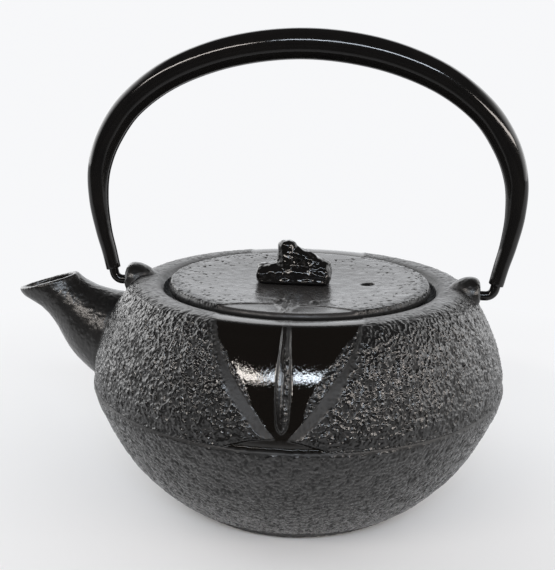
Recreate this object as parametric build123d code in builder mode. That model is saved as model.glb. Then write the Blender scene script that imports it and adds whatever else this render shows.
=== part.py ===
"""Cast-iron teapot with a lift-off lid, an infuser basket and a swinging bail handle.

Origin at the middle of the foot, on the surface that the pot stands on. +Z is up, -X points along
the spout, -Y is the front. Millimetres. The heights below are measured from the plane of the
opening's edge, and each piece is lifted onto its foot when it is written.
"""

import os
from build123d import *

# ---------------------------------------------------------------- driving dimensions
OPENING_R = 50.0        # edge of the opening in the shoulder
SEAT_Z = -3.2           # ledge that carries the infuser rim and, on it, the lid
SEAT_R = 44.5           # bore inside the ledge
BASE_Z = -80.5          # underside of the foot ring
CAVITY_Z = -75.5        # inner floor
FOOT_R = 40.5
FOOT_INNER_R = 36.0
SEAM_Z = -33.0          # step between the upper shell and the lower bowl
RIM_SPLIT_R = 59.0      # the casting is exported in bands, so that each one is a simple ring
SEAT_SPLIT_R = 52.0

LEAF_DEPTH = 1.5        # recess of the smooth leaf panel on the front and back
LEAF_HALF_W = 24.6
RIB_HALF_W = 2.3

PIVOT_Z = -1.0          # axis of the bail, along X
LUG_FACE_X = 65.6
LUG_R = 6.8
BORE_R = 2.3
BORE_END_X = 60.2
PIN_R = 1.75
PIN_END_X = 61.0

LID_R = 47.6
LID_FLANGE_Z = -1.8
SKIRT_R = 40.6
SKIRT_T = 2.2
SKIRT_Z = -7.5
VENT_R = 2.2
VENT_X = 25.6

KNOB_Z = 0.8
LID_INNER_Z = LID_FLANGE_Z - 1.2
RIVET_R = 2.0
WASHER_R = 6.0
WASHER_T = 1.0
RIVET_HEAD_Z = LID_INNER_Z - WASHER_T

TUBE_BORE_RATIO = 0.70  # inner over outer radius of the rolled handle
SLOT_HALF_W = 0.7       # open seam on the inner side of the rolled handle

FLANGE_R = 46.8
FLANGE_T = 0.8
FLANGE_Z = -2.9
BASKET_R = 42.2
BASKET_T = 0.8
BASKET_Z = -46.0
MESH_T = 0.5

# ---------------------------------------------------------------- half profiles (radius, height)
SHOULDER = [
    (OPENING_R, 0.0),
    (52.5, 1.3),
    (55.5, 1.9),
    (58.5, 1.5),
    (61.0, 0.2),
    (64.3, -3.0),
    (67.6, -8.0),
    (70.8, -14.2),
    (73.6, -21.5),
    (75.1, -27.0),
    (75.5, -31.0),
]
BOWL = [
    (76.0, SEAM_Z - 0.9),
    (73.6, -41.6),
    (68.6, -52.2),
    (64.0, -59.8),
    (60.8, -63.8),
    (55.9, -69.2),
    (50.0, -74.4),
    (43.6, -79.0),
    (FOOT_R, BASE_Z),
]
CAVITY = [
    (SEAT_R, -6.6),
    (54.0, -3.6),
    (58.7, -3.9),
    (61.1, -5.8),
    (64.1, -10.2),
    (67.2, -15.8),
    (69.8, -22.8),
    (71.2, -27.8),
    (71.6, -33.5),
    (69.2, -40.4),
    (64.7, -50.4),
    (60.6, -57.6),
    (57.8, -61.1),
    (53.2, -66.2),
    (47.6, -71.1),
    (38.0, CAVITY_Z),
]

# Stations of the spout: upper point (x, z), lower point (x, z), half width across.
SPOUT = [
    ((-85.6, 0.8), (-108.6, -6.0), 7.9),
    ((-82.6, -1.8), (-102.6, -11.2), 8.4),
    ((-78.3, -3.9), (-94.8, -18.0), 9.8),
    ((-73.5, -5.3), (-89.2, -27.7), 12.2),
    ((-67.5, -6.4), (-82.5, -35.0), 14.6),
    ((-60.0, -8.0), (-74.5, -43.0), 17.0),
    ((-52.0, -12.0), (-65.0, -49.0), 18.0),
]

# Centreline of the bail's right half, from the middle of the grip to the end of the rolled
# tube: x, z, outer radius.
BAIL = [
    (0.0, 86.4, 5.5),
    (25.0, 83.6, 5.5),
    (46.6, 76.0, 5.3),
    (62.1, 65.1, 4.95),
    (71.0, 53.1, 4.75),
    (75.4, 41.0, 4.2),
    (76.0, 29.0, 3.6),
    (74.5, 18.0, 3.05),
    (72.6, 10.0, 2.8),
    (71.17, 3.2, 2.7),
]
BAIL_LINE = [(-x, z, r) for x, z, r in reversed(BAIL[1:])] + BAIL
HOOK_TOP = (72.35, 8.8)
HOOK_BEND = (70.3, PIVOT_Z)

# Half widths of the leaf panel over LEAF_HALF_W, with their depths below the opening.
LEAF_EDGE = [
    (1.01, -6.0),
    (1.0, 0.0),
    (0.97, 4.0),
    (0.86, 10.0),
    (0.73, 15.2),
    (0.51, 21.6),
    (0.26, 27.0),
]
LEAF_TIP_Z = -31.6

# Outline of the knob, a short gnarled twig lying along X with a stub at its middle.
KNOB = [
    (-16.2, KNOB_Z - 3.0),
    (-16.3, 5.4),
    (-14.8, 7.4),
    (-9.8, 7.8),
    (-8.6, 10.4),
    (-7.2, 14.8),
    (-4.6, 16.5),
    (-1.6, 15.0),
    (1.2, 12.8),
    (4.6, 10.2),
    (9.6, 8.6),
    (11.4, 6.4),
    (11.2, KNOB_Z - 3.0),
]


def station(upper, lower, half_width, wall):
    """Ellipse of the spout at one station, shrunk by the wall on every side."""
    top = Vector(upper[0], 0, upper[1])
    low = Vector(lower[0], 0, lower[1])
    middle = (top + low) * 0.5
    along = (top - low).normalized()
    half_length = (top - low).length / 2 - wall
    plane = Plane(origin=middle, x_dir=along, z_dir=along.cross(Vector(0, 1, 0)))
    with BuildSketch(plane) as outline:
        Ellipse(half_length, half_width - wall)
    return outline.sketch


def bail_rings(ratio):
    """Circles across the bail's centreline, from one end of the rolled tube to the other."""
    before = BAIL_LINE[:1] + BAIL_LINE[:-1]
    after = BAIL_LINE[1:] + BAIL_LINE[-1:]
    rings = []
    for (x0, z0, _), (x, z, radius), (x1, z1, _) in zip(before, BAIL_LINE, after):
        with BuildSketch(Plane(origin=(x, 0, z), x_dir=(0, 1, 0), z_dir=(x1 - x0, 0, z1 - z0))) as outline:
            Circle(radius * ratio)
        rings.append(outline.sketch)
    return rings


# ---------------------------------------------------------------- pot body
with BuildPart() as spout:
    for upper, lower, half_width in SPOUT:
        add(station(upper, lower, half_width, 0.0))
    loft()

with BuildPart() as passage:
    for upper, lower, half_width in SPOUT:
        add(station(upper, lower, half_width, 2.3))
    loft()

with BuildPart() as lug:
    # Horn shape: a blunt outward face, tapering inwards to the shoulder.
    with BuildSketch(Plane.XZ):
        with BuildLine():
            nose = Spline(
                (LUG_FACE_X - 13.4, PIVOT_Z),
                (LUG_FACE_X - 11.0, PIVOT_Z + 3.2),
                (LUG_FACE_X - 7.0, PIVOT_Z + 5.8),
                (LUG_FACE_X - 3.0, PIVOT_Z + LUG_R),
                (LUG_FACE_X - 0.9, PIVOT_Z + LUG_R - 0.5),
                (LUG_FACE_X, PIVOT_Z + LUG_R - 1.8),
            )
            Polyline(nose @ 1, (LUG_FACE_X, PIVOT_Z), nose @ 0)
        make_face()
    revolve(axis=Axis((0, 0, PIVOT_Z), (1, 0, 0)))

with BuildPart() as leaf_layer:
    # Shell just under the shoulder's skin, cut to the leaf's outline and its raised midrib.
    with BuildSketch(Plane.XZ):
        with BuildLine():
            outer = Spline(*[(r + 3.0, z + 1.5) for r, z in SHOULDER[3:]])
            inner = Spline(*[(r - LEAF_DEPTH * 0.8, z - LEAF_DEPTH * 0.5) for r, z in SHOULDER[3:]])
            Line(outer @ 0, inner @ 0)
            Line(outer @ 1, inner @ 1)
        make_face()
    revolve(axis=Axis.Z)
    with BuildSketch(Plane.XZ) as leaf:
        with BuildLine():
            right = Spline(*[(LEAF_HALF_W * k, -d) for k, d in LEAF_EDGE], (0.0, LEAF_TIP_Z))
            left = Spline(*[(-LEAF_HALF_W * k, -d) for k, d in LEAF_EDGE], (0.0, LEAF_TIP_Z))
            Line(right @ 0, left @ 0)
        make_face()
        with BuildLine():
            Polyline((-RIB_HALF_W, 8.0), (RIB_HALF_W, 8.0), (0.0, LEAF_TIP_Z + 2.0), close=True)
        make_face(mode=Mode.SUBTRACT)
    extrude(amount=90, both=True, mode=Mode.INTERSECT)

with BuildPart() as outside:
    # Everything inside the outer skin of the casting, without its spout and lugs.
    with BuildSketch(Plane.XZ):
        with BuildLine():
            crest = Spline(*SHOULDER)
            bowl = Spline(*BOWL)
            Polyline(crest @ 1, (SHOULDER[-1][0] - 0.3, SEAM_Z), (BOWL[0][0] - 0.4, SEAM_Z), bowl @ 0)
            Polyline(
                bowl @ 1,
                (FOOT_INNER_R, BASE_Z),
                (FOOT_INNER_R - 1.0, BASE_Z + 1.2),
                (0.0, BASE_Z + 1.2),
                (0.0, 0.0),
                crest @ 0,
            )
        make_face()
    revolve(axis=Axis.Z)

with BuildPart() as bores:
    for side in (1, -1):
        with Locations(Location((side * LUG_FACE_X, 0, PIVOT_Z), (0, -90 * side, 0))):
            Cylinder(
                BORE_R,
                LUG_FACE_X - BORE_END_X,
                rotation=(0, 0, 45),
                align=(Align.CENTER, Align.CENTER, Align.MIN),
            )

with BuildPart() as shell:
    add(outside.part)
    # Cavity, opening and seat.
    with BuildSketch(Plane.XZ):
        with BuildLine():
            hollow = Spline(*CAVITY)
            Polyline(
                hollow @ 1,
                (0.0, CAVITY_Z),
                (0.0, 10.0),
                (OPENING_R, 10.0),
                (OPENING_R, SEAT_Z),
                (SEAT_R, SEAT_Z),
                hollow @ 0,
            )
        make_face()
    revolve(axis=Axis.Z, mode=Mode.SUBTRACT)
    add(passage.part, mode=Mode.SUBTRACT)
    add(leaf_layer.part, mode=Mode.SUBTRACT)
    add(bores.part, mode=Mode.SUBTRACT)


def band(*corners):
    """The part of the shell between the given corners of its half section (radius, height)."""
    with BuildPart() as piece:
        add(shell.part)
        with BuildSketch(Plane.XZ):
            with BuildLine():
                Polyline(*corners, close=True)
            make_face()
        revolve(axis=Axis.Z, mode=Mode.INTERSECT)
    return piece


pot_rim = band(
    (0, SEAT_Z),
    (SEAT_SPLIT_R, SEAT_Z),
    (SEAT_SPLIT_R, -9),
    (RIM_SPLIT_R, -9),
    (RIM_SPLIT_R, 9),
    (0, 9),
)
pot_seat = band((0, SEAT_Z), (SEAT_SPLIT_R, SEAT_Z), (SEAT_SPLIT_R, -9), (0, -9))
pot_shoulder = band((RIM_SPLIT_R, 9), (90, 9), (90, SEAM_Z), (RIM_SPLIT_R, SEAM_Z))
pot_bowl = band((0, SEAM_Z), (90, SEAM_Z), (90, -90), (0, -90))

with BuildPart() as pot_spout:
    add(spout.part)
    add(outside.part, mode=Mode.SUBTRACT)
    add(passage.part, mode=Mode.SUBTRACT)

with BuildPart() as pot_lug_right:
    add(lug.part)
    add(outside.part, mode=Mode.SUBTRACT)
    add(bores.part, mode=Mode.SUBTRACT)

with BuildPart() as pot_lug_left:
    add(mirror(pot_lug_right.part, about=Plane.YZ, mode=Mode.PRIVATE))

# ---------------------------------------------------------------- lid
with BuildPart() as lid:
    with BuildSketch(Plane.XZ):
        with BuildLine():
            boss = Line((0.0, KNOB_Z), (16.0, KNOB_Z))
            top = Spline(boss @ 1, (28.0, 1.5), (38.0, 2.2), (44.6, 2.3), tangents=((1, 0), (1, -0.2)))
            edge = Spline(top @ 1, (46.8, 1.3), (LID_R, -0.6))
            Polyline(
                edge @ 1,
                (LID_R, LID_FLANGE_Z + 0.4),
                (LID_R - 0.4, LID_FLANGE_Z),
                (SKIRT_R, LID_FLANGE_Z),
                (SKIRT_R, LID_INNER_Z),
                (0.0, LID_INNER_Z),
                boss @ 0,
            )
        make_face()
    revolve(axis=Axis.Z)
    # Smooth sepal panels at the front and back edge of the lid.
    with BuildSketch(Plane.XY.offset(1.5)):
        with Locations((0, -48), (0, 48)):
            Ellipse(27, 11.5)
    extrude(amount=5, mode=Mode.SUBTRACT)
    with Locations((VENT_X, 0, 0)):
        Cylinder(VENT_R, 20, mode=Mode.SUBTRACT)
    Cylinder(RIVET_R + 0.2, 20, mode=Mode.SUBTRACT)

with BuildPart() as lid_skirt:
    with BuildSketch(Plane.XZ):
        with BuildLine():
            Polyline(
                (SKIRT_R, LID_INNER_Z),
                (SKIRT_R - 0.3, SKIRT_Z),
                (SKIRT_R - SKIRT_T, SKIRT_Z),
                (SKIRT_R - SKIRT_T, LID_INNER_Z),
                close=True,
            )
        make_face()
    revolve(axis=Axis.Z)

with BuildPart() as lid_knob:
    with BuildSketch(Plane.XZ) as twig:
        with BuildLine():
            Polyline(*KNOB, close=True)
        make_face()
        fillet(twig.vertices().group_by(Axis.Y)[1:], radius=0.7)
    extrude(amount=5.8, both=True, taper=16)
    split(bisect_by=Plane.XY.offset(KNOB_Z), keep=Keep.TOP)
    with Locations((0, 0, KNOB_Z)):
        Cylinder(RIVET_R, 6.0, align=(Align.CENTER, Align.CENTER, Align.MIN), mode=Mode.SUBTRACT)

with BuildPart() as knob_rivet:
    with BuildSketch(Plane.XZ):
        with BuildLine():
            Polyline(
                (0.0, KNOB_Z + 5.8),
                (RIVET_R - 0.1, KNOB_Z + 5.8),
                (RIVET_R - 0.1, RIVET_HEAD_Z),
                (4.0, RIVET_HEAD_Z),
                (4.0, RIVET_HEAD_Z - 0.8),
                (2.8, RIVET_HEAD_Z - 1.7),
                (0.0, RIVET_HEAD_Z - 1.7),
                close=True,
            )
        make_face()
    revolve(axis=Axis.Z)

with BuildPart() as knob_washer:
    with BuildSketch(Plane.XY.offset(RIVET_HEAD_Z)):
        Circle(WASHER_R)
        Circle(RIVET_R + 0.3, mode=Mode.SUBTRACT)
    extrude(amount=WASHER_T)

# ---------------------------------------------------------------- bail handle
with BuildPart() as bail_bore:
    for section in bail_rings(TUBE_BORE_RATIO):
        add(section)
    loft()

with BuildPart() as bail_tube:
    for section in bail_rings(1.0):
        add(section)
    loft()
    add(bail_bore.part, mode=Mode.SUBTRACT)
    # Open seam where the sheet's two edges meet, on the inner side of the arch.
    with BuildSketch(Plane.XZ):
        with BuildLine():
            arch = Spline(*[(x, z) for x, z, radius in BAIL_LINE])
            Polyline(arch @ 1, (60.0, 0.0), (-60.0, 0.0), arch @ 0)
        make_face()
    extrude(amount=SLOT_HALF_W, both=True, mode=Mode.SUBTRACT)

with BuildPart() as bail_hook_right:
    with BuildLine() as bend:
        FilletPolyline(
            (HOOK_TOP[0], 0, HOOK_TOP[1]),
            (HOOK_BEND[0], 0, HOOK_BEND[1]),
            (PIN_END_X, 0, PIVOT_Z),
            radius=3.2,
        )
    with BuildSketch(Plane(origin=bend.line @ 0, z_dir=bend.line % 0)):
        Circle(PIN_R)
    sweep()

with BuildPart() as bail_hook_left:
    add(mirror(bail_hook_right.part, about=Plane.YZ, mode=Mode.PRIVATE))

# ---------------------------------------------------------------- infuser basket
with BuildPart() as infuser_rim:
    with BuildSketch(Plane.XZ):
        with BuildLine():
            Polyline(
                (FLANGE_R, FLANGE_Z),
                (FLANGE_R, FLANGE_Z + FLANGE_T),
                (BASKET_R - BASKET_T, FLANGE_Z + FLANGE_T),
                (BASKET_R - BASKET_T, FLANGE_Z - 8.0),
                (BASKET_R, FLANGE_Z - 8.0),
                (BASKET_R, FLANGE_Z),
                close=True,
            )
        make_face()
    revolve(axis=Axis.Z)

with BuildPart() as infuser_wall:
    with BuildSketch(Plane.XY.offset(BASKET_Z + 1.6)):
        Circle(BASKET_R - BASKET_T - 0.1)
        Circle(BASKET_R - BASKET_T - 0.1 - MESH_T, mode=Mode.SUBTRACT)
    extrude(amount=FLANGE_Z - 1.0 - BASKET_Z - 1.6)

with BuildPart() as infuser_hoop:
    with BuildSketch(Plane.XZ):
        with BuildLine():
            Polyline(
                (BASKET_R, BASKET_Z),
                (BASKET_R, BASKET_Z + 6.0),
                (BASKET_R - BASKET_T, BASKET_Z + 6.0),
                (BASKET_R - BASKET_T, BASKET_Z + 0.8),
                (BASKET_R - 5.0, BASKET_Z + 0.8),
                (BASKET_R - 5.0, BASKET_Z),
                close=True,
            )
        make_face()
    revolve(axis=Axis.Z)

with BuildPart() as infuser_floor:
    with Locations((0, 0, BASKET_Z + 0.9)):
        Cylinder(
            BASKET_R - BASKET_T - 1.2,
            MESH_T,
            align=(Align.CENTER, Align.CENTER, Align.MIN),
        )

# ---------------------------------------------------------------- export
PIECES = {
    "pot_rim": pot_rim,
    "pot_seat": pot_seat,
    "pot_shoulder": pot_shoulder,
    "pot_bowl": pot_bowl,
    "pot_spout": pot_spout,
    "pot_lug_left": pot_lug_left,
    "pot_lug_right": pot_lug_right,
    "lid": lid,
    "lid_skirt": lid_skirt,
    "lid_knob": lid_knob,
    "knob_rivet": knob_rivet,
    "knob_washer": knob_washer,
    "bail_tube": bail_tube,
    "bail_hook_left": bail_hook_left,
    "bail_hook_right": bail_hook_right,
    "infuser_rim": infuser_rim,
    "infuser_wall": infuser_wall,
    "infuser_hoop": infuser_hoop,
    "infuser_floor": infuser_floor,
}
os.makedirs("parts", exist_ok=True)
for name, piece in PIECES.items():
    standing = piece.part.moved(Location((0, 0, -BASE_Z)))
    standing.label = name
    export_step(standing, f"parts/{name}.step")
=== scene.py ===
"""Looks of a cast-iron teapot: textured casting, satin lid, gnarled knob, rolled bail, mesh basket.

Lengths are millimetres, with heights measured from the plane of the pot's opening. The spout points
towards -X and the front leaf panel towards -Y. They turn into the frame's metres when a mesh is made.
"""

import math
from types import SimpleNamespace

import bmesh
import bpy
import numpy as np
from mathutils import Matrix, Vector, noise


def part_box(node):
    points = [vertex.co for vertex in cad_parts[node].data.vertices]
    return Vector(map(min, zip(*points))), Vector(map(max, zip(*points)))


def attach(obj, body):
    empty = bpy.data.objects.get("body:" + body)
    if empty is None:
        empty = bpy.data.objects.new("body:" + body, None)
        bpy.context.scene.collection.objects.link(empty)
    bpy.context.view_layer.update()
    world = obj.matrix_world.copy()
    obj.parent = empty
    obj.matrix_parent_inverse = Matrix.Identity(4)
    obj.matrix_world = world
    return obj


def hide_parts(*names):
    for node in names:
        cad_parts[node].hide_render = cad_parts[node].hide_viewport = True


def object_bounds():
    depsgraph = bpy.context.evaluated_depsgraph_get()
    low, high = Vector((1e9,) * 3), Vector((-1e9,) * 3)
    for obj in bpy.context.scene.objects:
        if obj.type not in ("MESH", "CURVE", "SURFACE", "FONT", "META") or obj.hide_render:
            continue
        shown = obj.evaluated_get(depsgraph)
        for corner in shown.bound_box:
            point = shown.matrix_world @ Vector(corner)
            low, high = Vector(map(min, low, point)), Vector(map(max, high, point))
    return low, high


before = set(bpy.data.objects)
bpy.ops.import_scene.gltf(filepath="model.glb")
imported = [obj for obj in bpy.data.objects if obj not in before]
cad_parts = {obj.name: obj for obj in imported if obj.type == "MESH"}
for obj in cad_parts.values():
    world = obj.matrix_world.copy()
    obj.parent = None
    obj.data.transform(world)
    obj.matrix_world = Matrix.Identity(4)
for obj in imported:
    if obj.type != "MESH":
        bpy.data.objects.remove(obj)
cad_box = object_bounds()

MM = 0.001
FOOT_Z = -80.5                          # the surface under the foot
LIFT = cad_box[0][2] / MM - FOOT_Z      # height of the opening's plane in the frame

# ---------------------------------------------------------------- casting: (radius, height)
SHOULDER = [(50, 0.5), (52, 1.3), (55, 1.75), (58, 1.7), (59.9, 1.1), (61.4, 0.0), (64.3, -3), (67.6, -8),
            (70.8, -14.2), (73.6, -21.5), (75.1, -27), (75.5, -31), (75.45, -32.5)]
BOWL = [(75.7, -33.1), (76, -33.8), (75.4, -36.5), (73.6, -41.6), (68.6, -52.2), (64, -59.8),
        (60.8, -63.8), (55.9, -69.2), (50, -74.4), (43.6, -79), (40.5, -80.5)]
SEAM_Z = -33.0
SECTION_CENTRE = (30.0, -35.0)          # (radius, height) inside the bend of the wall
CASTING_VOXEL = 0.42
SPOUT_LIP = (84.0, 90.0)                # where the spout thins out to its lip, towards -X
SEAT_R = 50.4                           # the lid's seat, painted near black as shade in the gap, lies inside this radius

# ---------------------------------------------------------------- sand-cast texture
WALL_R = 64.0                           # mean radius of the wall, to which the texture is unrolled
WALL_STRETCH = 0.62                     # below 1 the ridges are longer down the wall than round it
NET_SIZE, BROAD_SIZE, FINE_SIZE = 1.15, 2.5, 0.6
SHELL_RELIEF, BOWL_RELIEF = 0.52, 0.36  # the texture's height above and below the seam

# ---------------------------------------------------------------- leaf panel: (height, half width)
LEAF_TURN = math.radians(2.5)           # the front and back leaf stand a little to one side
LEAF_OUTER = [(3.0, 24.7), (0.0, 24.1), (-4.0, 23.0), (-6.0, 22.4), (-10.0, 20.7), (-13.0, 19.3),
              (-17.5, 16.9), (-21.0, 14.0), (-26.0, 9.3), (-29.0, 5.5), (-30.6, 2.6), (-34.0, 2.0)]
LEAF_INNER = [(3.0, 23.6), (0.0, 22.8), (-4.0, 21.4), (-6.0, 20.3), (-10.0, 17.6), (-13.0, 15.3),
              (-18.0, 11.4), (-22.0, 8.2), (-26.0, 5.0), (-28.0, 3.2), (-29.5, 2.1), (-34.0, 1.9)]
GLOSS_EDGE = [(3.0, 23.4), (0.0, 22.0), (-2.0, 19.6), (-4.7, 17.0), (-7.3, 15.2), (-12.0, 11.6),
              (-16.0, 8.8), (-19.6, 7.2), (-24.0, 6.6), (-34.0, 6.4)]
LEAF_DEPTH = 1.3
KEEL = [(3.0, 1.5), (-3.0, 1.8), (-7.0, 2.2), (-12.0, 2.5), (-18.0, 2.6), (-24.0, 2.2),
        (-26.5, 1.4), (-27.8, 0.0)]
KEEL_H = 1.2
CRESCENT_MID = -2.0                     # hollow above the seam, along the wall from the leaf's axis
CRESCENT_HALF = 16.4
CRESCENT_H = 3.9
LEAF_REACH = 28.0                       # farthest that a panel's recess goes from its axis

# ---------------------------------------------------------------- lid
LID_TOP = [(0, 0.8), (16, 0.8), (28, 1.5), (38, 2.2), (43, 2.45), (46.8, 2.5), (48.0, 2.1)]
SEPAL_Y = 48.0                          # middles of the smooth lenses at the front and back edge
SEPAL_HALF = (27.0, 13.0)
LID_EDGE_OUT = 0.8                      # the cast rim stands a little further out than in the frame
LID_EDGE_R = 48.6                       # the lid's skin ends just inside this radius
WEDGE_TIP_Y = -47.0                     # the textured wedge narrows to a tip at the front edge
HOLLOWS = [(-3.0, -31.5, 2.0, 4.6), (8.6, -31.0, 1.8, 3.6)]    # x, y, half width, half length
VENT_X = 25.0
LID_VOXEL = 0.38

# ---------------------------------------------------------------- knob: start, end, half sizes there
KNOB = [
    ((-16.0, 0, 4.0), (-4.0, 0, 4.2), ((5.6, 3.7), (5.8, 3.9))),            # left arm
    ((-6.0, 0, 4.2), (11.6, 0, 4.4), ((5.9, 4.2), (5.6, 4.1))),             # right arm
    ((-3.6, 0.3, 2.0), (-5.0, 0.3, 16.4), ((5.6, 5.2), (3.6, 3.4))),        # stub
    ((-3.4, 0, 12.4), (10.6, 0.2, 6.2), ((3.4, 3.2), (4.4, 3.0))),          # its sloping shoulder
    ((-15.8, 0, 2.2), (11.4, 0, 2.2), ((6.3, 1.9), (6.3, 1.9))),            # lower ridge
    ((-14.6, -3.0, 6.0), (-9.0, -2.6, 6.4), ((1.8, 1.5), (1.8, 1.5))),      # left knot
    ((3.0, -3.2, 7.0), (10.4, -3.0, 6.8), ((1.8, 1.7), (2.0, 1.7))),        # right knot
]
KNOB_FOOT_Z = 0.78                      # the knob is flat where it stands on the lid
KNOB_VOXEL = 0.42

# ---------------------------------------------------------------- bail: x, height, outer radius
BAIL = [(0, 86.4, 5.5), (25, 83.6, 5.5), (46.6, 76, 5.3), (62.1, 65.1, 4.95), (71, 53.1, 4.75),
        (75.4, 41, 4.2), (76, 29, 3.6), (74.5, 18, 3.05), (72.6, 10, 2.8), (71.17, 3.2, 2.7)]
BAIL_BORE = 0.70                        # inner radius as a share of the outer one
BAIL_SLOT_HALF = 0.7
BAIL_MEAN_R = 4.0                       # radius at which the seam has that width

# ---------------------------------------------------------------- infuser mesh
WIRE_PITCH = 1.3
WIRE_R = 0.16

# ---------------------------------------------------------------- studio
BACKDROP = (0.93, 0.935, 0.95)          # colour that the camera sees all round
LEFT_WALL, RIGHT_WALL = (3.9, 3.9, 3.9), (2.7, 2.7, 2.7)
BACK_WALL = (1.62, 1.65, 1.70)
DIM_ROOM = (0.05, 0.05, 0.053)
SOFT_BOXES = [                          # name, azimuth, elevation, wide, tall, radiance, colour
    ("soft_left", -33, 31, 31, 3.9, 26.0, (1.0, 0.93, 0.87)),
    ("soft_middle", 6, 33, 29, 3.9, 32.0, (0.82, 0.90, 1.0)),
    ("soft_right", 54, 22, 46, 5.5, 18.0, (1.0, 0.92, 0.86)),
]
FLOOR_R = 8.0                           # metres
EYE = (33.9, -322.5, 81.2)
EYE_FORWARD, EYE_UP = (-0.1256, 0.9617, -0.2438), (-0.0459, 0.2398, 0.9697)
SENSOR, LENS = 36.0, 56.842


# ---------------------------------------------------------------- mesh helpers
def smooth_line(points, step):
    """Catmull-Rom curve through the points, sampled about every step."""
    p = np.asarray(points, float)
    p = np.vstack([2 * p[0] - p[1], p, 2 * p[-1] - p[-2]])
    out = []
    for a, b, c, d in zip(p, p[1:], p[2:], p[3:]):
        n = max(2, int(np.linalg.norm(c - b) / step))
        t = (np.arange(n) / n)[:, None]
        bend = (2 * a - 5 * b + 4 * c - d) * t**2 + (3 * b - a - 3 * c + d) * t**3
        out.append(0.5 * (2 * b + (c - a) * t + bend))
    return np.vstack(out + [p[-2:-1]])


def ramp(value, low, high):
    """0 below low, 1 above high, smooth between."""
    t = np.clip((value - low) / (high - low), 0.0, 1.0)
    return t * t * (3 - 2 * t)


def grain(points, size, seed=0.0):
    """Smooth noise of about -1 to 1 with features of the given size, one value per point."""
    scaled = (np.asarray(points) / size + (seed, 2.3 * seed, -1.7 * seed)).tolist()
    return np.array([noise.noise(p) for p in scaled]) * 1.6


def linked(name, mesh):
    obj = bpy.data.objects.new(name, mesh)
    bpy.context.scene.collection.objects.link(obj)
    return obj


def mesh_object(name, vertices, faces):
    mesh = bpy.data.meshes.new(name)
    placed = (np.asarray(vertices) + (0, 0, LIFT)) * MM
    mesh.from_pydata(placed.tolist(), [], faces)
    mesh.shade_smooth()
    return linked(name, mesh)


def baked(obj):
    """Applies the object's modifiers to its mesh."""
    bpy.context.view_layer.update()
    done = bpy.data.meshes.new_from_object(obj.evaluated_get(bpy.context.evaluated_depsgraph_get()))
    obj.modifiers.clear()
    obj.data = done
    done.shade_smooth()
    return obj


def skinned(obj, voxel):
    """One even skin over everything in the object."""
    skin = obj.modifiers.new("Skin", "REMESH")
    skin.mode = "VOXEL"
    skin.voxel_size = voxel * MM
    return baked(obj)


def joined(name, nodes):
    """The meshes of CAD nodes that touch, copied into a single object."""
    bm = bmesh.new()
    for node_name in nodes:
        bm.from_mesh(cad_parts[node_name].data)
    mesh = bpy.data.meshes.new(name)
    bm.to_mesh(mesh)
    bm.free()
    return linked(name, mesh)


def vertices_of(obj):
    co = np.empty(len(obj.data.vertices) * 3, np.float32)
    obj.data.vertices.foreach_get("co", co)
    return co.reshape(-1, 3).astype(float) / MM - (0, 0, LIFT)


def normals_of(obj):
    no = np.empty(len(obj.data.vertices) * 3, np.float32)
    obj.data.vertex_normals.foreach_get("vector", no)
    return no.reshape(-1, 3).astype(float)


def set_vertices(obj, points):
    placed = (points + (0, 0, LIFT)) * MM
    obj.data.vertices.foreach_set("co", placed.astype(np.float32).ravel())
    obj.data.update()


def relaxed(obj, points, rounds):
    """Points moved to the mean of their neighbours, the given number of times."""
    ends = np.empty(len(obj.data.edges) * 2, np.int32)
    obj.data.edges.foreach_get("vertices", ends)
    a, b = ends.reshape(-1, 2).T
    size = len(points)
    count = np.bincount(a, minlength=size) + np.bincount(b, minlength=size)
    for _ in range(rounds):
        total = [np.bincount(a, points[b, k], size) + np.bincount(b, points[a, k], size) for k in range(3)]
        points = np.stack(total, 1) / count[:, None]
    return points


def paint(obj, name, values):
    """Stores one number per vertex for the materials to read."""
    attribute = obj.data.attributes.new(name, "FLOAT", "POINT")
    attribute.data.foreach_set("value", np.asarray(values, np.float32))


# ---------------------------------------------------------------- materials
def new_material(name):
    material = bpy.data.materials.new(name)
    material.use_nodes = True
    tree = material.node_tree
    return material, tree, tree.nodes["Principled BSDF"]


def node(tree, kind, inputs=(), **settings):
    """A shader node with its settings, and its inputs set or linked by name or number."""
    n = tree.nodes.new(kind)
    for key, value in settings.items():
        setattr(n, key, value)
    for key, value in dict(inputs).items():
        if isinstance(value, bpy.types.NodeSocket):
            tree.links.new(value, n.inputs[key])
        else:
            n.inputs[key].default_value = value
    return n


def attribute(tree, name):
    return node(tree, "ShaderNodeAttribute", attribute_name=name).outputs["Fac"]


def noise_value(tree, scale, detail=3.0, roughness=0.55, distortion=0.0, stretch=None):
    place = node(tree, "ShaderNodeTexCoord").outputs["Object"]
    if stretch:
        place = node(tree, "ShaderNodeMapping", {"Vector": place, "Scale": stretch}).outputs["Vector"]
    settings = {"Vector": place, "Scale": scale, "Detail": detail}
    settings |= {"Roughness": roughness, "Distortion": distortion}
    return node(tree, "ShaderNodeTexNoise", settings).outputs["Fac"]


def mapped(tree, value, low, high, to_low, to_high):
    settings = {"Value": value, "From Min": low, "From Max": high, "To Min": to_low, "To Max": to_high}
    return node(tree, "ShaderNodeMapRange", settings).outputs["Result"]


def math_of(tree, operation, a, b):
    return node(tree, "ShaderNodeMath", {0: a, 1: b}, operation=operation).outputs[0]


def mixed_value(tree, factor, a, b):
    return node(tree, "ShaderNodeMix", {0: factor, 2: a, 3: b}).outputs[0]


def mixed_colour(tree, factor, a, b):
    n = node(tree, "ShaderNodeMix", data_type="RGBA")
    for socket, value in ((n.inputs[0], factor), (n.inputs[6], a), (n.inputs[7], b)):
        if isinstance(value, bpy.types.NodeSocket):
            tree.links.new(value, socket)
        else:
            socket.default_value = (*value, 1.0) if isinstance(value, tuple) else value
    return n.outputs[2]


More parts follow.
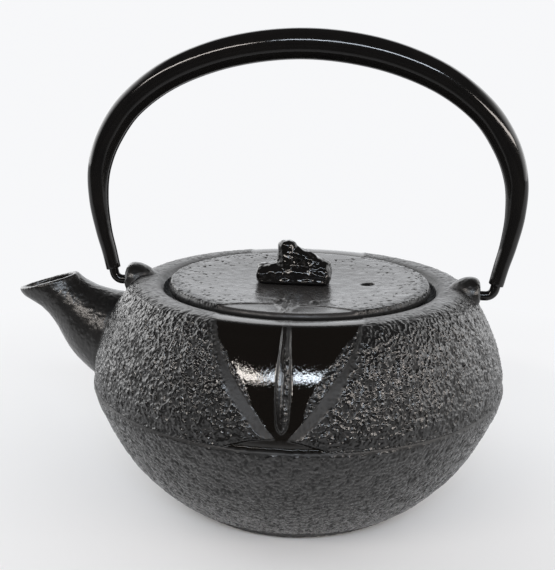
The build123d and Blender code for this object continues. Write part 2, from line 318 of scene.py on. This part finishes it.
def bumped(tree, shader, height, distance):
    bump = node(tree, "ShaderNodeBump", {"Height": height, "Distance": distance})
    tree.links.new(bump.outputs["Normal"], shader.inputs["Normal"])


def casting_material():
    """Baked charcoal coat on sand-cast iron, with brushed gloss black-brown in the leaf panels, painted
    shade near black in the pits, and in the seat under the lid.
    """
    material, tree, shader = new_material("casting")
    gloss, rough = attribute(tree, "gloss"), attribute(tree, "rough")
    pit_shade = attribute(tree, "pit_shade")
    cloud = noise_value(tree, 60.0, 4.0)
    bare = mixed_colour(tree, cloud, (0.005, 0.0049, 0.0049), (0.012, 0.0116, 0.0113))
    # Painted shade: the pits of the texture and the seat under the lid are darkened to near black.
    bare = mixed_colour(tree, math_of(tree, "MULTIPLY", pit_shade, rough), bare, (0.0015, 0.0015, 0.0015))
    colour = mixed_colour(tree, gloss, bare, (0.0045, 0.0034, 0.0024))
    tree.links.new(colour, shader.inputs["Base Color"])
    satin = mapped(tree, noise_value(tree, 240.0, 3.0), 0.3, 0.7, 0.42, 0.56)
    worn = mapped(tree, noise_value(tree, 700.0, 2.0), 0.35, 0.65, 0.08, 0.19)
    worn = mixed_value(tree, pit_shade, worn, 0.75)
    shine = mapped(tree, noise_value(tree, 500.0, 4.0), 0.35, 0.75, 0.02, 0.05)
    satin = mixed_value(tree, attribute(tree, "dull"), satin, 0.66)
    roughness = mixed_value(tree, gloss, mixed_value(tree, rough, satin, worn), shine)
    tree.links.new(roughness, shader.inputs["Roughness"])
    shader.inputs["IOR"].default_value = 1.54
    shader.inputs["Sheen Weight"].default_value = 0.06
    shader.inputs["Sheen Roughness"].default_value = 0.40
    pebble = noise_value(tree, 860.0, 0.0, 0.5)
    sand = noise_value(tree, 2300.0, 1.0, 0.5)
    brush = noise_value(tree, 1500.0, 3.0, 0.6, 0.0, (1.0, 1.0, 0.10))
    cast = math_of(tree, "MULTIPLY", rough, mixed_value(tree, 0.08, pebble, sand))
    skin = math_of(tree, "MULTIPLY", sand, mapped(tree, gloss, 0.0, 1.0, 0.04, 0.006))
    strokes = math_of(tree, "MULTIPLY", math_of(tree, "MULTIPLY", brush, gloss), 0.09)
    bumped(tree, shader, math_of(tree, "ADD", math_of(tree, "ADD", cast, skin), strokes), 0.0006)
    return material


def lid_material():
    """The same coat on the lid, smoother, with a rough edge painted darker as shade, and painted shade
    near black in its holes, hollows and gap.
    """
    material, tree, shader = new_material("lid_casting")
    cloud = noise_value(tree, 55.0, 4.0)
    rough = attribute(tree, "rough")
    colour = mixed_colour(tree, cloud, (0.028, 0.027, 0.027), (0.040, 0.038, 0.037))
    # Painted shade: the rough rim is darkened, and the holes, the hollows and the side face in the gap go
    # near black.
    colour = mixed_colour(tree, mapped(tree, rough, 0.5, 1.0, 0.0, 1.0), colour, (0.008, 0.008, 0.008))
    colour = mixed_colour(tree, attribute(tree, "hole_shade"), colour, (0.001, 0.001, 0.001))
    tree.links.new(colour, shader.inputs["Base Color"])
    satin = mapped(tree, noise_value(tree, 260.0, 3.0), 0.3, 0.7, 0.20, 0.32)
    tree.links.new(mixed_value(tree, attribute(tree, "hole_shade"), satin, 0.9), shader.inputs["Roughness"])
    shader.inputs["IOR"].default_value = 1.37
    fine = noise_value(tree, 900.0, 3.0, 0.55)
    depth = math_of(tree, "MULTIPLY", fine, mapped(tree, rough, 0.0, 1.0, 0.05, 1.0))
    bumped(tree, shader, depth, 0.00016)
    return material


def gloss_material(name, ripple, ripple_depth, roughness):
    """Gloss black stoved enamel with a faint unevenness and dust-dulled patches."""
    material, tree, shader = new_material(name)
    cloud = noise_value(tree, 90.0, 3.0)
    colour = mixed_colour(tree, cloud, (0.0035, 0.0035, 0.0037), (0.0085, 0.0075, 0.0068))
    tree.links.new(colour, shader.inputs["Base Color"])
    dulled = mapped(tree, noise_value(tree, 220.0, 4.0), 0.35, 0.75, *roughness)
    tree.links.new(dulled, shader.inputs["Roughness"])
    shader.inputs["IOR"].default_value = 1.40
    bumped(tree, shader, noise_value(tree, ripple, 2.0), ripple_depth)
    return material


def steel_material(name, low, high, base):
    """Brushed stainless steel with fine drawn lines."""
    material, tree, shader = new_material(name)
    lines = noise_value(tree, 500.0, 4.0, 0.7, 0.0, (0.6, 0.6, 9.0))
    colour = mixed_colour(tree, lines, tuple(0.82 * c for c in base), base)
    tree.links.new(colour, shader.inputs["Base Color"])
    tree.links.new(mapped(tree, lines, 0.3, 0.7, low, high), shader.inputs["Roughness"])
    shader.inputs["Metallic"].default_value = 1.0
    bumped(tree, shader, lines, 0.00002)
    return material


def floor_material():
    """Pale matt sweep that turns into an evenly lit backdrop away from the pot."""
    material, tree, shader = new_material("floor")
    cloud = noise_value(tree, 3.0, 2.0)
    colour = mixed_colour(tree, cloud, (0.85, 0.86, 0.87), (0.88, 0.88, 0.88))
    place = node(tree, "ShaderNodeTexCoord").outputs["Object"]
    away = node(tree, "ShaderNodeVectorMath", {0: place}, operation="LENGTH").outputs["Value"]
    # A dark cloth in front of the pot, unseen by the camera, keeps low glare off the gloss parts.
    side = node(tree, "ShaderNodeSeparateXYZ", {0: place}).outputs["Y"]
    unseen = math_of(tree, "SUBTRACT", 1.0, node(tree, "ShaderNodeLightPath").outputs["Is Camera Ray"])
    cloth = math_of(tree, "MULTIPLY", unseen, mapped(tree, side, -0.24, -0.09, 1.0, 0.0))
    colour = mixed_colour(tree, cloth, colour, (0.03, 0.03, 0.03))
    tree.links.new(colour, shader.inputs["Base Color"])
    shader.inputs["Roughness"].default_value = 0.8
    shader.inputs["Specular IOR Level"].default_value = 0.2
    glow = node(tree, "ShaderNodeEmission", {"Color": (*BACKDROP, 1.0)})
    bare = math_of(tree, "SUBTRACT", 1.0, cloth)
    far = math_of(tree, "MULTIPLY", mapped(tree, away, 0.045, 0.30, 0.0, 1.0), bare)
    blend = node(tree, "ShaderNodeMixShader", {0: far})
    tree.links.new(shader.outputs[0], blend.inputs[1])
    tree.links.new(glow.outputs[0], blend.inputs[2])
    tree.links.new(blend.outputs[0], tree.nodes["Material Output"].inputs["Surface"])
    return material


# ---------------------------------------------------------------- pot casting
def width_at(outline, height):
    """Half width of an outline at the given heights."""
    curve = smooth_line(outline, 0.5)[::-1]
    return np.interp(height, curve[:, 0], curve[:, 1])


def wall_outline():
    """The wall's outer section as seen from its centre: angle, distance and run along it."""
    outline = np.vstack([smooth_line(SHOULDER, 0.25), smooth_line(BOWL, 0.25)])
    run = np.concatenate([[0], np.cumsum(np.linalg.norm(np.diff(outline, axis=0), axis=1))])
    from_centre = outline - SECTION_CENTRE
    seen = np.arctan2(from_centre[:, 1], from_centre[:, 0])
    order = np.argsort(seen)
    return seen[order], np.linalg.norm(from_centre, axis=1)[order], run[order]


def places_on_wall(points):
    """Each point's place on the pot's wall, which is seen from the middle of the wall's bend."""
    seen, far, run = wall_outline()
    at = SimpleNamespace()
    at.radius = np.hypot(points[:, 0], points[:, 1])
    at.turn = np.arctan2(points[:, 0], -points[:, 1])
    dr, dz = at.radius - SECTION_CENTRE[0], points[:, 2] - SECTION_CENTRE[1]
    at.angle = np.arctan2(dz, dr)
    at.skin = np.interp(at.angle, seen, far)
    at.along = np.interp(at.angle, seen, run)
    at.proud = np.hypot(dr, dz) - at.skin
    at.height = SECTION_CENTRE[1] + at.skin * np.sin(at.angle)
    skin_r = SECTION_CENTRE[0] + at.skin * np.cos(at.angle)
    at.arc = ((at.turn - LEAF_TURN + math.pi / 2) % math.pi - math.pi / 2) * skin_r
    near_leaf = (np.abs(at.arc) < LEAF_REACH) & (at.height > SEAM_Z) & (at.radius > 48)

    at.on_skin = 1 - ramp(at.proud, 0.5, 1.6)
    at.on_skin[(at.proud < -0.9) & ~near_leaf] = 0.0
    beyond = (at.proud < -2.6) | (at.angle < seen.min()) | (at.angle > seen.max() - 0.02)
    at.on_skin[beyond] = 0.0
    return at


def leaf_shape(at):
    """Recess of the leaf and crescent, and masks for their gloss, bevels, keel and rough strip."""
    arc, height, along = at.arc, at.height, at.along
    side = np.abs(arc)
    outer, inner = width_at(LEAF_OUTER, height), width_at(LEAF_INNER, height)
    shell = (height > SEAM_Z) & (height > -60)
    step = 0.15 + 0.85 * ramp(along, 8.5, 14.0)
    bevel = np.clip((outer - side) / np.maximum(outer - inner, 0.4), 0.0, 1.0)
    recess = LEAF_DEPTH * bevel * step

    keel_w = np.maximum(width_at(KEEL, height), 0.001)
    on_keel = np.clip((keel_w - side) / 0.8, 0.0, 1.0) * (height > -27.9)
    groove_w = 0.30 + 0.55 * ramp(height, -12.0, -2.0)
    groove = (0.30 + 0.35 * ramp(height, -12.0, -2.0)) * np.exp(-((side / groove_w) ** 2))
    recess -= (KEEL_H - groove) * on_keel * step

    edge = SEAM_Z + CRESCENT_H * (1 - ((arc - CRESCENT_MID) / CRESCENT_HALF) ** 2)
    crescent = ramp(edge - height, 0.0, 0.5) * shell
    recess = np.where(shell, np.maximum(recess, LEAF_DEPTH * crescent), 0.0)

    gloss_w = np.minimum(inner - 0.1, width_at(GLOSS_EDGE, height) + 2.6 * (arc < 0))
    inside = ramp(gloss_w - side, -0.15, 0.15) * (1 - ramp(on_keel, 0.0, 0.3))
    gloss = inside * shell * ramp(along, 9.0, 9.8)
    # The crest above the leaf and the left flank of the keel are only partly glossy.
    crest = ramp(gloss_w + 1.6 - side, -0.6, 0.4) * shell * (1 - ramp(along, 8.6, 9.8))
    gloss = np.maximum(np.maximum(gloss, crescent), 0.62 * crest)
    dull = ramp(outer - side, -0.4, 1.4) * (1 - ramp(gloss, 0.0, 0.3))
    dull = dull * (1 - on_keel) * shell * ramp(along, 9.0, 12.0)
    gloss = np.maximum(gloss, 0.6 * ramp(on_keel, 0.2, 0.8) * (arc < 0) * (along > 9.5))
    smooth = np.maximum(ramp(outer - side, -1.2, 1.6) * shell, crescent)
    strip = (side > gloss_w) * ramp(inner - side, -0.1, 0.2)
    strip = strip * (height > -26) * (height < 0.5) * shell
    return SimpleNamespace(
        recess=recess, gloss=gloss, smooth=smooth, strip=strip, on_keel=on_keel, dull=dull)


def cast_relief(at):
    """Sand-cast texture, a net of sharp little ridges, and the pits between them, which are painted dark
    as shade.
    """
    chosen = np.flatnonzero(at.on_skin > 0.01)
    unrolled = (WALL_R * np.sin(at.turn), -WALL_R * np.cos(at.turn), WALL_STRETCH * at.along)
    wall = np.stack(unrolled, 1)[chosen]
    warp = np.stack([grain(wall, 3.0, seed) for seed in (3.1, 7.7, 11.3)], 1)
    broad = grain(wall + 0.5 * warp, BROAD_SIZE, 5.0)
    net = 0.55 - np.abs(grain(wall + 0.45 * warp, NET_SIZE, 1.0)) * 1.5
    fine = grain(wall + 0.3 * warp, FINE_SIZE, 8.0)
    relief, pit_shade = np.zeros(len(at.turn)), np.zeros(len(at.turn))
    relief[chosen] = 0.44 * net + 0.36 * broad + 0.26 * fine
    pit_shade[chosen] = ramp(-(0.55 * net + 0.35 * broad + 0.35 * fine), 0.05, 0.50)
    return relief, pit_shade


def cast_roughness(at, leaf):
    """How strong the texture is: full on the shoulder and the bowl, faint on the crest and leaf."""
    shell = 0.35 * ramp(at.along, 1.5, 4.0) + 0.65 * ramp(at.along, 7.0, 14.0)
    shell = shell * (1 - 0.82 * leaf.smooth)
    shell = np.maximum(shell, 0.9 * leaf.strip)
    right_flank = ramp(leaf.on_keel, 0.3, 0.8) * (at.arc > 0.2) * (at.height < -5)
    shell = np.maximum(shell, 0.75 * right_flank)
    shell = shell * (1 - leaf.gloss)
    bowl = ramp(SEAM_Z - 0.5 - at.height, 0.0, 1.2)
    return np.where(at.height > SEAM_Z, shell, bowl) * ramp(at.on_skin, 0.6, 1.0)


def make_casting():
    names = sorted(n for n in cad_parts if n.startswith("pot_"))
    pot = skinned(joined("pot_casting", names), CASTING_VOXEL)
    raw = vertices_of(pot)
    # The thin lip of the spout is relaxed less, so it keeps its size.
    lip = ramp(-raw[:, 0], *SPOUT_LIP)[:, None]
    points = relaxed(pot, raw, 8) * (1 - lip) + relaxed(pot, raw, 4) * lip

    at = places_on_wall(points)
    leaf = leaf_shape(at)
    relief, pit_shade = cast_relief(at)
    rough = cast_roughness(at, leaf)
    is_shell = at.height > SEAM_Z
    depth = np.where(is_shell, SHELL_RELIEF, BOWL_RELIEF)
    target = at.skin - leaf.recess + depth * relief * rough
    new_r = SECTION_CENTRE[0] + target * np.cos(at.angle)
    new_z = SECTION_CENTRE[1] + target * np.sin(at.angle)
    snapped = np.stack([new_r * np.sin(at.turn), -new_r * np.cos(at.turn), new_z], 1)
    points = points * (1 - at.on_skin[:, None]) + snapped * at.on_skin[:, None]
    set_vertices(pot, points)

    # The spout and the lugs keep the faint unevenness of the mould.
    loose = (1 - at.on_skin) * (at.proud > 0.5)
    chosen = np.flatnonzero(loose > 0)
    mould = points[chosen]
    uneven = np.zeros(len(points))
    uneven[chosen] = 0.14 * grain(mould, 7.0, 9.0) + 0.06 * grain(mould, 1.6, 4.0)
    points = points + normals_of(pot) * (uneven * loose)[:, None]
    points[:, 2] = np.maximum(points[:, 2], FOOT_Z)
    set_vertices(pot, points)

    # Painted shade: the seat under the lid, in the gap inside the opening, is darkened to near black
    # through these masks.
    seat_shade = (at.radius < SEAT_R) * ramp(SEAT_R - at.radius, 0.0, 0.4)
    seat_shade = seat_shade * ramp(1.2 - points[:, 2], 0.0, 0.6)
    worn = np.where(is_shell, 0.22, 0.18) * loose
    paint(pot, "gloss", np.maximum(leaf.gloss * (at.on_skin > 0.5), 0.28 * loose))
    paint(pot, "rough", np.maximum(np.maximum(rough, worn), seat_shade))
    paint(pot, "pit_shade", np.maximum(pit_shade, seat_shade))
    paint(pot, "dull", leaf.dull * (at.on_skin > 0.5))
    pot.data.materials.append(casting_material())
    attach(pot, "pot")
    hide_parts(*names)


# ---------------------------------------------------------------- lid
def front_wedge(x, y):
    """Masks of the textured wedge in the front lens and of the double rib along it."""
    from_tip = y - WEDGE_TIP_Y
    across = np.abs(x - 0.2 + from_tip * 0.04)
    half = np.clip(from_tip / 11.0, 0.0, 1.2) * 4.2
    wedge = ramp(half - across, -0.4, 0.4) * (y < -20)
    ribs = np.exp(-(((across - 1.3) / 0.5) ** 2)) * ramp(-y, 14, 20) * ramp(from_tip, 0, 4)
    return wedge, ribs


def lid_hollows(points):
    """Mask of the small hollows beside the double rib."""
    x, y = points[:, 0], points[:, 1]
    away = [np.hypot((x - mid_x) / wide, (y - mid_y) / tall) for mid_x, mid_y, wide, tall in HOLLOWS]
    return 1 - ramp(np.min(away, 0) + 0.12 * grain(points, 1.5, 7.0), 0.75, 1.05)


def lid_relief(points, radius):
    """Faint waves and small pits over the lid, and a rougher rim."""
    at = np.flatnonzero((radius < LID_EDGE_R) & (points[:, 2] > -0.8))
    spots, reach = points[at], radius[at]
    relief = np.zeros(len(points))
    pits = ramp(grain(spots, 1.3, 2.0), 0.70, 0.95) * ramp(reach, 20, 40)
    relief[at] = 0.05 * grain(spots, 3.4, 6.0) + 0.035 * grain(spots, 1.5, 8.0) - 0.3 * pits
    rim = ramp(reach, 43.0, 45.0) * 0.16
    relief[at] += rim * (0.4 - np.abs(grain(spots, 1.3, 5.0)) * 1.5)
    return relief


def make_lid():
    lid = skinned(joined("lid_casting", ["lid", "lid_skirt"]), LID_VOXEL)
    points = relaxed(lid, vertices_of(lid), 3)
    reach = np.maximum(np.hypot(points[:, 0], points[:, 1]), 1e-6)
    outwards = LID_EDGE_OUT * ramp(reach, 43.5, 46.5) * ramp(points[:, 2], -1.5, 0.5)
    points[:, :2] *= (1 + outwards / reach)[:, None]

    x, y = points[:, 0], points[:, 1]
    radius = np.hypot(x, y)
    curve = smooth_line(LID_TOP, 0.3)
    top = np.interp(radius, curve[:, 0], curve[:, 1])
    lens = np.hypot((x - 1.0) / SEPAL_HALF[0], (np.abs(y) - SEPAL_Y) / SEPAL_HALF[1])
    in_lens = ramp(1.0 - lens, 0.0, 0.10)
    outline = np.exp(-(((lens - 1.0) / 0.045) ** 2))
    wedge, ribs = front_wedge(x, y)
    hollow = lid_hollows(points)
    surface = top - 0.30 * in_lens * (1 - wedge) + 0.10 * outline + 0.45 * ribs - 0.7 * hollow
    rough = (1 - in_lens * (1 - wedge)) * ramp(radius, 8, 14)
    relief = lid_relief(points, radius)
    vent = np.hypot(x - VENT_X, y)
    on_top = (np.abs(points[:, 2] - top) < 1.3) * ramp(vent, 2.5, 3.0) * ramp(radius, 4.0, 5.0)
    on_top = on_top * (1 - ramp(radius, 47.1, 47.9)) * (points[:, 2] > 0)
    points[:, 2] += (surface - points[:, 2]) * on_top
    set_vertices(lid, points)

    # The rough rim, which the material also paints darker as shade.
    edge = ramp(radius + 0.8 * grain(points, 4.0, 12.0), 43.2, 44.6) * (points[:, 2] > -1.0)
    edge = edge * (1 - 0.9 * in_lens) * (1 - 0.8 * ramp(y, 0.0, 12.0))
    spread = relief * np.maximum(rough, edge) * (radius < LID_EDGE_R)
    spread = spread * ramp(vent, 2.5, 3.2) * (points[:, 2] > -0.8)
    set_vertices(lid, points + normals_of(lid) * spread[:, None])

    # Painted shade: near black inside the vent, in the hollows and on the lid's side face in the gap under
    # the rim.
    hole_shade = (1 - ramp(vent, 2.2, 2.6)) * (points[:, 2] > -1.0)
    flank = ramp(1.3 - points[:, 2], 0.0, 0.5) * (radius > 46)
    paint(lid, "rough", np.maximum(np.maximum(rough * on_top * 0.25, edge), hole_shade))
    paint(lid, "hole_shade", np.maximum(np.maximum(hole_shade, 0.8 * hollow), flank))
    lid.data.materials.append(lid_material())
    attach(lid, "lid")
    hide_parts("lid", "lid_skirt")


# ---------------------------------------------------------------- knob
def blob(bm, start, end, radii, segments=20):
    """Tapered capsule between two points, with its half sizes along Y and across at each end."""
    start, end = Vector(start), Vector(end)
    axis = (end - start).normalized()
    side = axis.cross(Vector((0, 1, 0)) if abs(axis.y) < 0.9 else Vector((1, 0, 0))).normalized()
    across = side.cross(axis).normalized()
    cap = [(0, 0), (0.01, 0.6), (0.05, 0.9), (0.15, 1)]
    rings = []
    for t, shrink in cap + [(0.5, 1)] + [(1 - t, shrink) for t, shrink in cap[::-1]]:
        centre = start.lerp(end, t)
        a = (radii[0][0] * (1 - t) + radii[1][0] * t) * shrink
        b = (radii[0][1] * (1 - t) + radii[1][1] * t) * shrink
        if shrink == 0:
            rings.append([bm.verts.new(centre)])
            continue
        circle = np.linspace(0, 2 * math.pi, segments, endpoint=False)
        offsets = [across * a * math.cos(u) + side * b * math.sin(u) for u in circle]
        rings.append([bm.verts.new(centre + offset) for offset in offsets])
    for low, high in zip(rings, rings[1:]):
        for i in range(segments):
            j = (i + 1) % segments
            if len(low) == 1:
                bm.faces.new((low[0], high[j], high[i]))
            elif len(high) == 1:
                bm.faces.new((low[i], low[j], high[0]))
            else:
                bm.faces.new((low[i], low[j], high[j], high[i]))


def make_knob():
    bm = bmesh.new()
    for start, end, radii in KNOB:
        blob(bm, start, end, radii)
    mesh = bpy.data.meshes.new("knob")
    bm.to_mesh(mesh)
    bm.free()
    mesh.transform(Matrix.Translation((0, 0, LIFT * MM)) @ Matrix.Scale(MM, 4))
    knob = skinned(linked("knob", mesh), KNOB_VOXEL)
    points = relaxed(knob, vertices_of(knob), 3)
    set_vertices(knob, points)
    stub = ramp(points[:, 2], 7.0, 10.0)[:, None]
    stretched = points * (0.45, 1.0, 1.0) * (1 - stub) + points * (1.0, 1.0, 0.45) * stub
    bark = 0.50 * (0.5 - np.abs(grain(stretched, 3.2, 1.0))) + 0.12 * grain(stretched, 1.6, 2.0)
    bark += 0.45 * grain(points, 5.0, 3.0) + 0.16 * grain(points, 1.2, 5.0)
    points = points + normals_of(knob) * (0.75 * bark * ramp(points[:, 2], 1.0, 2.4))[:, None]
    points[:, 2] = np.maximum(points[:, 2], KNOB_FOOT_Z)
    set_vertices(knob, points)
    knob.data.materials.append(gloss_material("knob_enamel", 420.0, 0.00008, (0.08, 0.16)))
    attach(knob, "lid")
    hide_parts("lid_knob")


# ---------------------------------------------------------------- bail handle
def tube_outline():
    """Section of the rolled tube, radius 1: round the outside from lip to lip, and back inside."""
    arcs = []
    for ratio, turns in ((1.0, 40), (BAIL_BORE, 30)):
        gap = math.asin(BAIL_SLOT_HALF / (BAIL_MEAN_R * ratio)) + 0.05
        around = np.linspace(gap, 2 * math.pi - gap, turns)
        arcs.append([(ratio * math.cos(a), ratio * math.sin(a)) for a in around])
    lip = (1 + BAIL_BORE) / 2
    gap = 0.9 * math.asin(BAIL_SLOT_HALF / BAIL_MEAN_R)
    closing = (lip * math.cos(gap), -lip * math.sin(gap))
    opening = (lip * math.cos(gap), lip * math.sin(gap))
    return arcs[0], arcs[0] + [closing] + arcs[1][::-1] + [opening], len(arcs[1])


def make_bail():
    line = smooth_line([(-x, z, r) for x, z, r in BAIL[:0:-1]] + BAIL, 1.0)
    tangent = np.gradient(line[:, :2], axis=0)
    tangent /= np.linalg.norm(tangent, axis=1)[:, None]
    outer, outline, inner_turns = tube_outline()
    vertices, faces = [], []
    for (x, z, r), (tx, tz) in zip(line, tangent):
        vertices += [(x + tz * u * r, v * r, z - tx * u * r) for u, v in outline]
    n = len(outline)
    for i in range(len(line) - 1):
        for j in range(n):
            k = (j + 1) % n
            faces.append((i * n + j, i * n + k, (i + 1) * n + k, (i + 1) * n + j))
    # The wall's two ends, between the outer and the inner arc.
    for base, flip in ((0, True), ((len(line) - 1) * n, False)):
        last = len(outer) - 1
        for j in range(last):
            a = n - 2 - round(j / last * (inner_turns - 1))
            b = n - 2 - round((j + 1) / last * (inner_turns - 1))
            ring = [j, j + 1, b] if a == b else [j, j + 1, b, a]
            ring = [base + corner for corner in ring]
            faces.append(ring[::-1] if flip else ring)
    bail = mesh_object("bail_handle", vertices, faces)
    bevel = bail.modifiers.new("Lips", "BEVEL")
    bevel.width = 0.15 * MM
    bevel.segments = 2
    bevel.limit_method = "ANGLE"
    bevel.angle_limit = math.radians(50)
    baked(bail)
    bail.data.materials.append(gloss_material("bail_lacquer", 160.0, 0.00007, (0.07, 0.15)))
    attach(bail, "bail")
    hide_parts("bail_tube")
    lacquer = gloss_material("hook_lacquer", 260.0, 0.0001, (0.10, 0.20))
    dress("bail_hook_left", lacquer)
    dress("bail_hook_right", lacquer)


def dress(name, material):
    """Gives a CAD node that stays in view its material."""
    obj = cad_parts[name]
    if not obj.material_slots:
        obj.data.materials.append(None)
    for slot in obj.material_slots:
        slot.link = "OBJECT"
        slot.material = material


# ---------------------------------------------------------------- infuser
def wires(name, paths, radius, closed):
    """Square-section wires along the given lines, joined as one piece."""
    vertices, faces = [], []
    base = 0
    for path in paths:
        path = np.asarray(path, float)
        ahead = np.roll(path, -1, 0) - np.roll(path, 1, 0) if closed else np.gradient(path, axis=0)
        ahead /= np.linalg.norm(ahead, axis=1)[:, None]
        side = np.cross(ahead, (0.0, 0.0, 1.0))
        flat = np.linalg.norm(side, axis=1) < 1e-3
        outwards = path * (1, 1, 0) / np.maximum(np.hypot(path[:, 0], path[:, 1]), 1e-6)[:, None]
        side[flat] = np.cross(ahead[flat], outwards[flat])
        side /= np.linalg.norm(side, axis=1)[:, None]
        other = np.cross(side, ahead)
        around = [path + radius * s for s in (side, other, -side, -other)]
        vertices.append(np.stack(around, 1).reshape(-1, 3))
        count = len(path)
        low = base + 4 * np.arange(count if closed else count - 1)
        high = base + 4 * ((np.arange(len(low)) + 1) % count)
        for j in range(4):
            k = (j + 1) % 4
            faces += np.stack([low + j, low + k, high + k, high + j], 1).tolist()
        if not closed:
            faces += [[base + j for j in (3, 2, 1, 0)], [base + 4 * (count - 1) + j for j in range(4)]]
        base += 4 * count
    return mesh_object(name, np.vstack(vertices), faces)


def wall_wires(radius, low, high):
    """Upright wires and hoops woven over and under each other on a cylinder."""
    around = int(2 * math.pi * radius / WIRE_PITCH / 2) * 2
    levels = int((high - low) / WIRE_PITCH)
    upright, hoops = [], []
    k = np.arange(2 * levels + 1)
    for i in range(around):
        turn = 2 * math.pi * i / around
        out = radius + WIRE_R * (1 if i % 2 else -1) * np.cos(math.pi * k / 2)
        upright.append(np.stack([out * math.cos(turn), out * math.sin(turn), low + k * WIRE_PITCH / 2], 1))
    i = np.arange(2 * around)
    for level in range(levels):
        turn = math.pi * i / around
        out = radius + WIRE_R * (-1 if level % 2 else 1) * np.cos(math.pi * i / 2)
        rise = np.full(len(i), low + level * WIRE_PITCH)
        hoops.append(np.stack([out * np.cos(turn), out * np.sin(turn), rise], 1))
    return upright, hoops


def floor_wires(reach, level):
    """Two crossing layers of straight wires woven within a circle."""
    straight = []
    count = int(reach / WIRE_PITCH)
    for i in range(-count, count + 1):
        offset = i * WIRE_PITCH
        half = int(math.sqrt(max(reach**2 - offset**2, 0)) / WIRE_PITCH)
        if half < 2:
            continue
        k = np.arange(-2 * half, 2 * half + 1)
        step, aside = k * WIRE_PITCH / 2, np.full(len(k), offset)
        weave = WIRE_R * np.cos(math.pi * k / 2) * (1 if i % 2 else -1)
        straight.append(np.stack([step, aside, level + weave], 1))
        straight.append(np.stack([aside, step, level - weave], 1))
    return straight


def make_infuser():
    low, high = (np.array(corner) / MM - (0, 0, LIFT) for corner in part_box("infuser_wall"))
    upright, hoops = wall_wires(high[0] - 0.25, low[2], high[2])
    wall = wires("infuser_wall_upright_wires", upright, WIRE_R, False)
    rounds = wires("infuser_wall_round_wires", hoops, WIRE_R, True)
    low, high = (np.array(corner) / MM - (0, 0, LIFT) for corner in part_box("infuser_floor"))
    straight = floor_wires(high[0] - 0.2, (low[2] + high[2]) / 2)
    floor = wires("infuser_floor_wires", straight, WIRE_R, False)
    mesh_steel = steel_material("mesh_wire", 0.22, 0.38, (0.62, 0.62, 0.61))
    for obj in (wall, rounds, floor):
        obj.data.materials.append(mesh_steel)
        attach(obj, "infuser")
    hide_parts("infuser_wall")
    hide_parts("infuser_floor")
    sheet_steel = steel_material("sheet_steel", 0.20, 0.36, (0.66, 0.66, 0.65))
    dress("infuser_rim", sheet_steel)
    dress("infuser_hoop", sheet_steel)


def make_fixings():
    fixing = steel_material("fixing_steel", 0.25, 0.45, (0.50, 0.50, 0.51))
    dress("knob_rivet", fixing)
    dress("knob_washer", fixing)


# ---------------------------------------------------------------- studio
def aim(obj, place, forward, up):
    forward, up = Vector(forward).normalized(), Vector(up)
    right = forward.cross(up).normalized()
    up = right.cross(forward)
    turn = Matrix((right, up, -forward)).transposed()
    obj.matrix_world = Matrix.Translation((Vector(place) + Vector((0, 0, LIFT))) * MM) @ turn.to_4x4()


def soft_light(name, azimuth, elevation, wide, tall, radiance, colour, reach=1500.0):
    """Soft box as seen from the pot, its angles in degrees from the front, + towards the right."""
    light = bpy.data.lights.new(name, "AREA")
    light.shape = "RECTANGLE"
    light.size = 2 * reach * math.tan(math.radians(wide / 2)) * MM
    light.size_y = 2 * reach * math.tan(math.radians(tall / 2)) * MM
    light.energy = radiance * math.pi * light.size * light.size_y
    light.color = colour
    obj = linked(name, light)
    a, e = math.radians(azimuth), math.radians(elevation)
    way = Vector((math.sin(a) * math.cos(e), -math.cos(a) * math.cos(e), math.sin(e)))
    aim(obj, way * reach + Vector((0, 0, -20)), -way, (0, 0, 1))


def make_world():
    """Bright walls behind and beside the pot up to about 40 degrees, and a dim room elsewhere."""
    world = bpy.data.worlds.new("studio")
    bpy.context.scene.world = world
    world.use_nodes = True
    tree = world.node_tree
    way = node(tree, "ShaderNodeTexCoord").outputs["Generated"]
    parts = node(tree, "ShaderNodeSeparateXYZ", {0: way})
    behind = mapped(tree, parts.outputs["Y"], -0.30, 0.15, 0.0, 1.0)
    below = mapped(tree, parts.outputs["Z"], 0.50, 0.72, 1.0, 0.0)
    lit = math_of(tree, "MULTIPLY", behind, below)
    rightwards = mapped(tree, parts.outputs["X"], -0.9, 0.9, 0.0, 1.0)
    straight = mapped(tree, parts.outputs["Y"], 0.70, 0.93, 0.0, 1.0)
    wall = mixed_colour(tree, rightwards, LEFT_WALL, RIGHT_WALL)
    wall = mixed_colour(tree, straight, wall, BACK_WALL)
    colour = mixed_colour(tree, lit, DIM_ROOM, wall)
    seen = node(tree, "ShaderNodeLightPath").outputs["Is Camera Ray"]
    colour = mixed_colour(tree, seen, colour, BACKDROP)
    tree.links.new(colour, tree.nodes["Background"].inputs["Color"])


def make_studio():
    bm = bmesh.new()
    bmesh.ops.create_circle(bm, cap_ends=True, radius=FLOOR_R, segments=96)
    mesh = bpy.data.meshes.new("floor")
    bm.to_mesh(mesh)
    bm.free()
    floor = linked("floor", mesh)
    floor.location.z = cad_box[0][2]
    floor.data.materials.append(floor_material())
    make_world()
    for box in SOFT_BOXES:
        soft_light(*box)

    camera = bpy.data.cameras.new("camera")
    camera.sensor_fit = "AUTO"
    camera.sensor_width = SENSOR
    camera.lens = LENS
    camera.clip_start, camera.clip_end = 0.01, 50.0
    eye = linked("camera", camera)
    aim(eye, EYE, EYE_FORWARD, EYE_UP)
    bpy.context.scene.camera = eye
    bpy.context.scene.view_settings.view_transform = "Standard"


make_casting()
make_lid()
make_knob()
make_bail()
make_infuser()
make_fixings()
make_studio()
